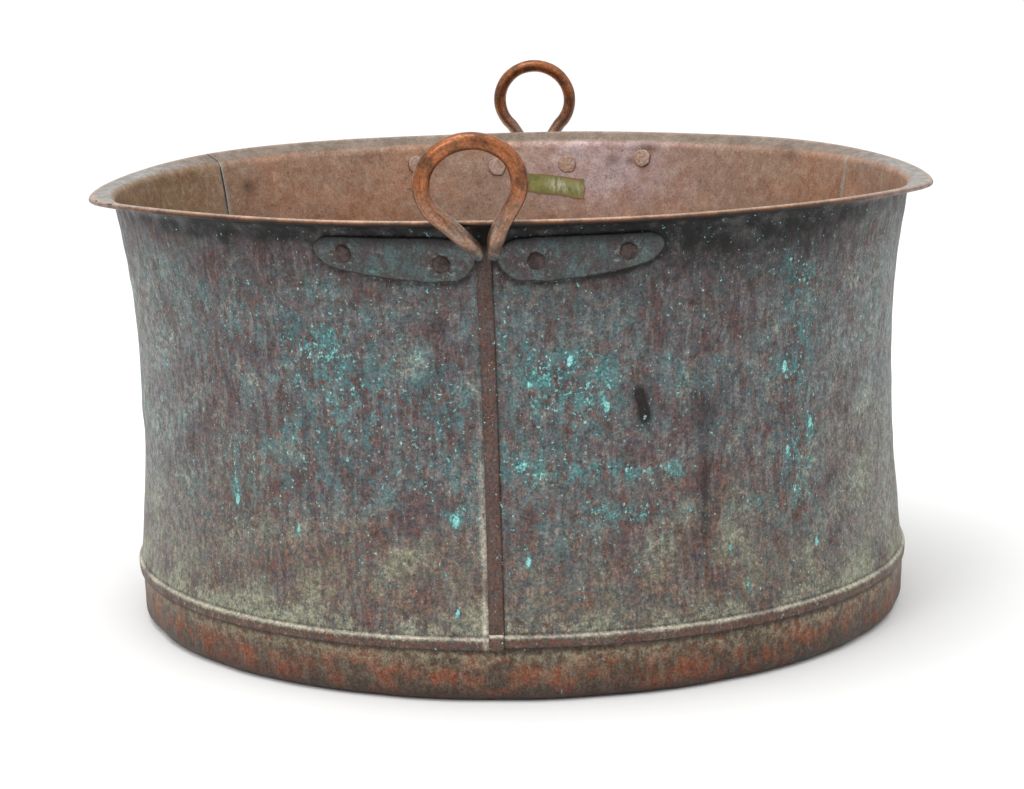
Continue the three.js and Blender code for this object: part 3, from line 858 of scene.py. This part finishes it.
def inside_masks(degrees, z, steps, sides):
    """Where each kind of weathering lies on the inside, with painted shadow under the roll and a painted
    highlight along its crest. Steps are counted from the roll's end.
    """
    mottle = ripples(degrees, z, 60, 1, 21)
    hidden_edges = [abs(seam + SEAM_UNDER - degrees) for seam in SEAMS[1:]]
    to_hidden_edge = np.radians(np.min(hidden_edges, axis=0)) * DRUM_R
    return {
        "verdigris": 0.35 + 0.15 * mottle + stained(degrees, z, INSIDE_GREEN),
        "stain": stained(degrees, z, INSIDE_BROWN),
        # Painted shadow on the roll's underside, less at the sides.
        "under": (1 - ease(6.6, 9.2, steps)) * (1 - 0.8 * sides),
        "roll": 1 - ease(12.5, 16.5, steps),
        # Painted highlight along the roll's crest.
        "crest": ease(8.8, 10.6, steps) * (1 - ease(13.5, 16.5, steps)),
        "seam": bump(to_hidden_edge, 2.2),
    }


def wall_masks(degrees, z, steps, seam):
    """All of a wall sheet's masks. Steps run down the inner face from 0, and are below 0 outside."""
    aside = wrapped(degrees)
    sides = ease(40, 70, np.abs(aside))
    outer = outside_masks(degrees, z, seam)
    inner = inside_masks(degrees, z, steps, sides)
    masks = {}
    for name in {**outer, **inner}:
        masks[name] = np.where(steps >= 0, inner.get(name, 0), outer.get(name, 0))
    masks["clear"] = 1 - ease(362, 370, z)
    masks["back"] = ease(100, 125, np.abs(aside))
    masks["sides"] = sides
    masks["flange"] = ease(NECK_Z + 4, NECK_Z + 8, z)
    masks["pink"] = bump(degrees - 168, 13) * ease(300, 350, z)
    masks["olive"] = ease(225, 250, degrees) * (1 - ease(300, 330, degrees))
    return masks


for sheet, seam, next_seam in zip(SHEETS, SEAMS, SEAMS[1:]):
    wall_sheet(*sheet, seam, next_seam)

# -------------------- base pan


def base_pan():
    """The dished base: a flat disc with a rounded corner and an upstand the walls lap over."""
    corner = np.array([PAN_R - PAN_CORNER, PAN_CORNER])
    angles = np.radians(np.linspace(-90, 0, 12))
    bend = np.stack([np.cos(angles), np.sin(angles)], axis=-1)
    flat_r = np.concatenate([[0.0], np.linspace(20, corner[0] - 6, 60)])
    flat = np.stack([flat_r, np.zeros_like(flat_r)], axis=-1)
    rise = curve_through([(PAN_R + 0.25, 20), (354.7, 28), (354.9, 36), (355.0, 44), (354.9, 49)], 4)
    hidden = np.array([(352.9, 53.6), (351.4, 60), (350.8, 66)])
    outer = np.vstack([flat, corner + PAN_CORNER * bend, rise, hidden])
    along = np.gradient(outer, axis=0)
    along /= np.linalg.norm(along, axis=1)[:, None]
    inner = outer + PAN_SHEET * np.stack([-along[:, 1], along[:, 0]], axis=-1)
    inner[0, 0] = 0
    section = np.vstack([outer, inner[::-1]])
    true_radius, height = section.T[:, None]
    degrees = np.arange(0, 360, 0.6)[:, None]
    dent = ripples(degrees, height, 70, 0.35, 11) + ripples(degrees, 0, 200, 0.3, 12)
    radius = true_radius - np.clip(dent + 0.5, 0, None) * ease(330, 352, true_radius)
    sag = ripples(degrees, true_radius, 60, 0.25, 13) + 0.5
    floor_dent = np.clip(sag, 0, None) * (1 - ease(320, 342, true_radius))
    z = height + floor_dent * ease(0, 60, true_radius)
    points, quads = loft(leaned(drum(degrees, radius, z)), closed=True)
    obj = make_object("base_pan_hammered", points, quads, [PAN], "base_copper", ["base_pan"])
    is_inner = np.broadcast_to(np.arange(len(section)) >= len(outer), (len(degrees), len(section)))
    paint(obj, inside=is_inner)


base_pan()

# -------------------- handles


def rod_line(lean, radius, ring):
    """Centre line of a handle's rod: up one leg, round the ring and down the other."""
    ring_z, half_width, half_height = ring
    leg = [
        [6.8, 358.6 + radius, 366],
        [6.1, 362.2 + radius, 370.5],
        [7.6, 366.8 + radius, 376],
        [11.6, 374.6 + radius, 383],
        [17.0, 387.4, 391.5],
        [24.6, RING_OUT, ring_z - 27],
    ]
    angles = np.radians(np.arange(-36, 217, 14))
    ring_x = half_width * np.cos(angles)
    ring_up = ring_z + half_height * np.sin(angles)
    round_part = np.stack([ring_x, np.full_like(ring_x, RING_OUT), ring_up], axis=-1)
    other = np.array(leg)[::-1] * (-1, 1, 1)
    points = np.vstack([leg, round_part, other])
    x, y, z = points.T
    turn = np.radians(-lean) * ease(THROAT_Z - 4, THROAT_Z + 14, z)
    above = z - THROAT_Z
    leaning_x = x * np.cos(turn) + above * np.sin(turn)
    leaning_z = THROAT_Z - x * np.sin(turn) + above * np.cos(turn)
    return curve_through(np.stack([leaning_x, -y, leaning_z], axis=-1), 8)


def rod(line, full_radius):
    """Round rod along a line, a little uneven, tapering to rounded ends."""
    tangent = np.gradient(line, axis=0)
    tangent /= np.linalg.norm(tangent, axis=1)[:, None]
    side = np.cross(tangent, [0.0, -1.0, 0.0])
    side /= np.linalg.norm(side, axis=1)[:, None]
    back = np.cross(side, tangent)
    length = np.concatenate([[0], np.cumsum(np.linalg.norm(np.diff(line, axis=0), axis=1))])
    from_end = np.minimum(length, length[-1] - length)
    taper = 0.72 + 0.28 * ease(2, 30, from_end)
    blunt = np.sqrt(np.clip(1 - (1 - np.clip(from_end / 4, 0, 1)) ** 2, 0.02, 1))
    uneven = 0.975 + 0.015 * np.sin(length / 11) + 0.01 * np.sin(length / 4.3 + 2)
    radius = full_radius * taper * blunt * uneven
    angles = np.linspace(0, 2 * math.pi, 24, endpoint=False)[None, :, None]
    ring = np.cos(angles) * side[:, None] + np.sin(angles) * back[:, None]
    return loft(line[:, None] + radius[:, None, None] * ring)


def palm(side):
    """A palm forged flat against the wall, thinner towards its edges."""
    share = (1 - np.cos(np.linspace(0, math.pi, 90))) / 2
    low, high = palm_edges(share)
    angle = side * (PALM_FROM + (PALM_TO - PALM_FROM) * share)
    up = (1 - np.cos(np.linspace(0, math.pi, 26))) / 2
    z = low[:, None] + (high - low)[:, None] * up[None]
    thin = 1 - 0.45 * (2 * up - 1) ** 6
    thickness = PALM_THICKNESS * thin[None] + 0.25 * np.sin(z / 5 + angle[:, None] * 1.7)
    loops = []
    for out in (PALM_GAP + thickness, np.full_like(thickness, PALM_GAP)):
        loops.append(drum(angle[:, None], wall_radius(z) + out, z))
    return loft(folded(*loops))


def fused(name, parts, voxel, rounds):
    """The parts forged into one skin, as (points, faces)."""
    points, quads, start = [], [], 0
    for part_points, part_quads in parts:
        points.append(part_points)
        quads.append(outward(part_points, part_quads) + start)
        start += len(part_points)
    mesh = bpy.data.meshes.new(name)
    mesh.from_pydata((np.vstack(points) * 0.001).tolist(), [], np.vstack(quads).tolist())
    obj = new_object(name, mesh)
    remesh = obj.modifiers.new("remesh", "REMESH")
    remesh.mode = "VOXEL"
    remesh.voxel_size = voxel * 0.001
    smooth = obj.modifiers.new("smooth", "SMOOTH")
    smooth.factor = 0.5
    smooth.iterations = rounds
    made = obj.evaluated_get(bpy.context.evaluated_depsgraph_get()).to_mesh()
    flat = np.zeros(len(made.vertices) * 3)
    made.vertices.foreach_get("co", flat)
    faces = np.array([list(face.vertices) for face in made.polygons])
    bpy.data.objects.remove(obj)
    return flat.reshape(-1, 3) * 1000, faces


def handle(place, turn, lean, radius, ring):
    """A handle: rod and palms in one forging, with what its material needs to know."""
    line = rod_line(lean, radius, ring)
    parts = [rod(line, radius), palm(1), palm(-1)]
    points, faces = fused(place + "_blank", parts, voxel=1.15, rounds=3)
    nearest = np.zeros(len(points), int)
    batch = 4000
    for start in range(0, len(points), batch):
        gap = points[start : start + batch, None] - line[None]
        nearest[start : start + batch] = np.einsum("ijk,ijk->ij", gap, gap).argmin(1)
    offset = points - line[nearest]
    distance = np.linalg.norm(offset, axis=1)
    length = np.concatenate([[0], np.cumsum(np.linalg.norm(np.diff(line, axis=0), axis=1))])
    degrees = drum_angle(points)
    x, y, z = points.T
    out = np.hypot(x, y) - wall_radius(z)
    is_palm = ease(radius + 0.2, radius + 3, distance) + (out < 3.4) * (z < 382)
    is_palm = is_palm + 1 - ease(367, 374, z)
    palm_radius = 355
    halo = np.zeros(len(points))
    for angle, height in RIVETS[place]:
        away = np.hypot(np.radians(degrees - angle) * palm_radius, z - height)
        halo = np.maximum(halo, bump(away - 10, 3.5))
    throat = bump(np.hypot(x, z - 366), 22)
    share = np.clip((np.abs(degrees) - PALM_FROM) / (PALM_TO - PALM_FROM), 0, 1)
    low, _ = palm_edges(share)
    near_edge = bump(z - low, 5)
    placed = leaned(turned(points, turn))
    name = place + "_handle"
    obj = make_object(name + "_forged", placed, faces, [HANDLE], "handle_copper", [name], sharp=60)
    leg = 1 - ease(385, 432, z)
    paint(
        obj,
        palm=np.clip(is_palm, 0, 1),
        halo=np.clip(halo + 0.8 * throat, 0, 1),
        verdigris=0.35 + 0.5 * near_edge + 0.2 * ripples(degrees, z, 30, 1, 31),
        film=0.15 + 0.75 * leg,
        # painted shade at the palms' tops, under the rim
        soot=ease(370, 382, z),
        # painted shadow line along the palms' lower edges
        edge=0.85 * (z < low + 1.2) * (out < 3.4),
    )
    vector = obj.data.attributes.new("along", "FLOAT_VECTOR", "POINT")
    values = np.stack([length[nearest] * 0.001, offset[:, 0] * 0.001, offset[:, 1] * 0.001], axis=-1)
    vector.data.foreach_set("vector", values.astype(np.float32).ravel())


def rivet(name, turn, degrees, z, seed):
    """A rivet: flat head inside the drum, shank, and a hammered dome outside."""
    inside = -SHEET - 0.5
    outside = PALM_GAP + PALM_THICKNESS + 0.2
    flat_head = [(0.05, 1.7), (5, 1.65), (8.3, 1.5), (9.2, 0.9)]
    dome_head = [(7.2, 0), (7.1, 1.1), (5.9, 2.5), (3.4, 3.5), (0.05, 3.8)]
    profile = curve_through([(r, inside - rise) for r, rise in flat_head], 4)
    dome = curve_through([(r, outside + rise) for r, rise in dome_head], 4)
    middle = np.array([(9.3, inside - 0.3), (9.2, inside), (4, inside), (4, outside)])
    section = np.vstack([profile, middle, dome])
    angles = np.linspace(0, 2 * math.pi, 40, endpoint=False)
    rng = np.random.default_rng(seed)
    uneven = sum(rng.uniform(0.01, 0.03) * np.sin(k * angles + rng.uniform(0, 6)) for k in (2, 3, 5, 7))
    r = section[None, :, 0] * (1 + uneven[:, None])
    tilt = rng.uniform(-0.05, 0.05, 2)
    up = section[None, :, 1] + (section[None, :, 1] > outside) * (
        r * (tilt[0] * np.cos(angles)[:, None] + tilt[1] * np.sin(angles)[:, None])
    )
    loops = np.stack([r * np.cos(angles)[:, None], up, r * np.sin(angles)[:, None]], axis=-1)
    points, quads = loft(loops, closed=True)
    placed = leaned(turned(on_wall(points, degrees, z), turn))
    obj = make_object(name + "_hammered", placed, quads, [RIVET], "rivet_copper", [name], sharp=50)
    flat_r = np.broadcast_to(section[:, 0], loops.shape[:2])
    flat_up = np.broadcast_to(section[:, 1], loops.shape[:2])
    inner = flat_up < 0
    rim = 0.7 * ease(8.4, 9.4, flat_r) * inner + ease(6.2, 7.2, flat_r) * ~inner
    paint(obj, inner=inner, rim=rim)


for place, turn, lean, radius, ring in HANDLES:
    handle(place, turn, lean, radius, ring)
    for number, (degrees, z) in enumerate(RIVETS[place], start=1):
        rivet(f"{place}_rivet_{number}", turn, degrees, z, 40 + number + round(turn))

# -------------------- tape and wire


def tape_strip():
    """A torn strip of tape stuck to the inside of the far wall, slanting down to one side."""
    u = np.linspace(0, 1, 70)
    v = np.linspace(0, 1, 24)
    rng = np.random.default_rng(9)
    ragged = np.cumsum(rng.normal(0, 0.25, (4, 70)), axis=1)
    ragged = ragged - np.linspace(0, 1, 70) * ragged[:, -1:]
    degrees = 180.8 - 9.9 * u[:, None] + 0.25 * np.sin(9 * v)[None] * (u[:, None] - 0.5)
    top = 355.6 - 6.6 * u + np.clip(ragged[0], -0.6, 0.6)
    bottom = 337.2 - 9.6 * u + np.clip(ragged[1], -0.6, 0.6)
    z = bottom[:, None] + (top - bottom)[:, None] * v[None]
    loops = []
    for depth in (0.55, 0.3):
        radius = wall_radius(z) - SHEET - depth - 0.15 - unevenness(degrees, z)
        loops.append(drum(degrees, radius, z))
    points, quads = loft(leaned(folded(*loops)))
    obj = make_object("tape_torn", points, quads, [TAPE], "old_tape", ["tape_strip"])
    scuff = bump(u - 0.55, 0.17) + 0.7 * bump(u - 0.92, 0.06)
    scuff = scuff[:, None] * bump(v - 0.5, 0.36)[None]
    near_end = bump(np.minimum(u, 1 - u), 0.04)[:, None]
    near_side = bump(np.minimum(v, 1 - v), 0.1)[None]
    edge = np.maximum(near_end, near_side)
    paint(obj, scuff=folded(scuff, scuff), edge=folded(edge, edge))


tape_strip()
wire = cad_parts["rim_wire"]
wire.data.materials.clear()
wire.data.materials.append(WIRE)

# -------------------- floor, lights and camera


def add_floor():
    """A large white floor, just under the vat."""
    corners = np.array([(-40, -40, 0), (40, -40, 0), (40, 40, 0), (-40, 40, 0)], float) * 1000
    floor = make_object("floor", corners, np.array([(0, 1, 2, 3)]), [floor_paint()], None)
    floor.location.z = -0.0005


def add_lights():
    """A bright world, darker from below, and two soft lamps."""
    world = bpy.data.worlds.new("studio")
    world.use_nodes = True
    tree = world.node_tree
    direction = tree.nodes.new("ShaderNodeTexCoord")
    parts = tree.nodes.new("ShaderNodeSeparateXYZ")
    brightness = tree.nodes.new("ShaderNodeMapRange")
    brightness.inputs["To Min"].default_value = 0.55
    brightness.inputs["To Max"].default_value = 1.45
    tree.links.new(direction.outputs["Generated"], parts.inputs[0])
    tree.links.new(parts.outputs["Z"], brightness.inputs["Value"])
    tree.links.new(brightness.outputs["Result"], tree.nodes["Background"].inputs["Strength"])
    tree.nodes["Background"].inputs["Color"].default_value = (1, 1, 1, 1)
    bpy.context.scene.world = world
    for name, size, power, place, aim in (
        ("top_light", 1.6, 30, (-0.5, -0.6, 3.0), (0, 0, 0.2)),
        ("front_light", 1.0, 20, (-1.6, -3.0, 2.6), (0, 0, 0.3)),
    ):
        lamp = bpy.data.lights.new(name, "AREA")
        lamp.size = size
        lamp.energy = power
        obj = new_object(name, lamp)
        obj.location = place
        direction = Vector(aim) - Vector(place)
        obj.rotation_euler = direction.to_track_quat("-Z", "Y").to_euler()


def add_camera():
    """The camera stands in front, a little to the right, and looks slightly down."""
    distance, height, heading = 2.37, 0.6461, 3.5
    turned_aside, looking_down, rolled = 0.163, 10.972, -1.2375
    data = bpy.data.cameras.new("camera")
    data.lens = 90.93
    data.sensor_width = 36
    data.clip_end = 200
    camera = new_object("camera", data)
    angle = math.radians(heading)
    place = Matrix.Translation((distance * math.sin(angle), -distance * math.cos(angle), height))
    aside = Matrix.Rotation(math.radians(heading + turned_aside), 4, "Z")
    down = Matrix.Rotation(math.radians(90 - looking_down), 4, "X")
    roll = Matrix.Rotation(math.radians(rolled), 4, "Z")
    camera.matrix_world = place @ aside @ down @ roll
    bpy.context.scene.camera = camera


add_floor()
add_lights()
add_camera()
bpy.context.scene.view_settings.view_transform = "Standard"
